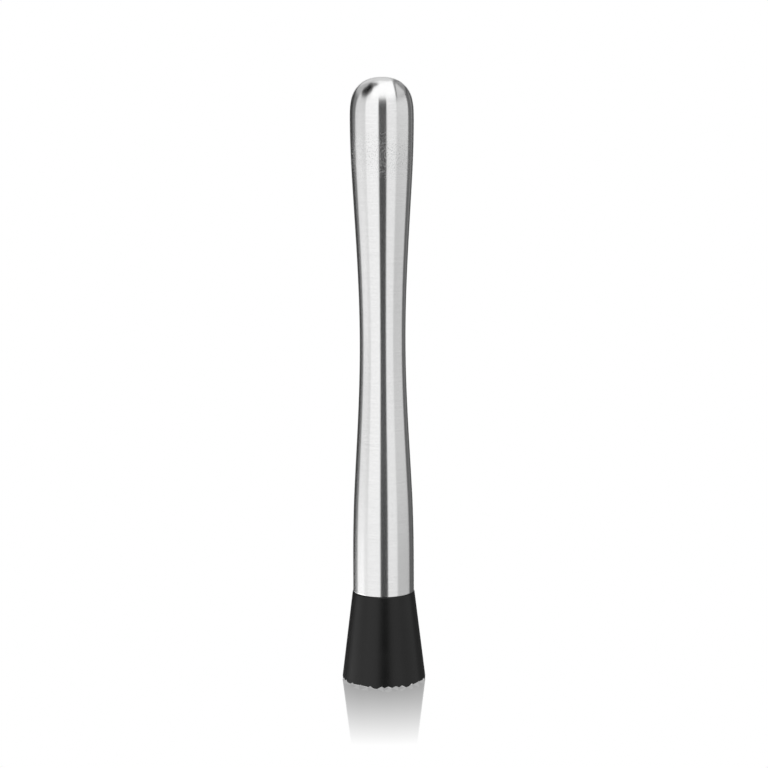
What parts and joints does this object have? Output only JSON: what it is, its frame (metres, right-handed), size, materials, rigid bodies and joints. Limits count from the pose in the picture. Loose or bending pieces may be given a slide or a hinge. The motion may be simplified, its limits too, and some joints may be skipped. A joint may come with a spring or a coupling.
{
  "type": "cocktail muddler",
  "caption": "Waisted hollow steel handle with a domed top, and a screw-on flared plastic head with a face of pyramid teeth, for crushing fruit and herbs in a glass.",
  "frame": {"origin": "on the muddler's axis, at the level of the tips of the head's teeth, on which it stands", "axes": "+Z along the handle, up from the toothed face to the domed top; -Y is the front"},
  "size_m": [0.0308, 0.0308, 0.22],
  "materials": {
    "handle_steel": "satin, brushed round the axis",
    "bush_steel": "turned",
    "head_nylon": "moulded, matt",
    "bolt_steel": "cold formed",
    "seal_rubber": "matt"
  },
  "bodies": {
    "handle": {"handle_tube": "handle_steel", "crown_cap": "handle_steel", "end_bush": "bush_steel"},
    "seal": {"seal_ring": "seal_rubber"},
    "head": {"muddling_head": "head_nylon", "head_bolt": "bolt_steel"}
  },
  "joints": [
    {"name": "head_travel", "type": "slide", "parent": "handle", "child": "seal", "axis": [0, 0, -1], "range_m": [0, 0.00875]},
    {"name": "head_unscrew", "type": "hinge", "parent": "seal", "child": "head", "pos_m": [0, 0, 0], "axis": [0, 0, -1], "range_deg": [0, 2521]}
  ],
  "couplings": [
    {"joint": "head_unscrew", "follows": "head_travel", "rad_per_m": 5026.5}
  ]
}
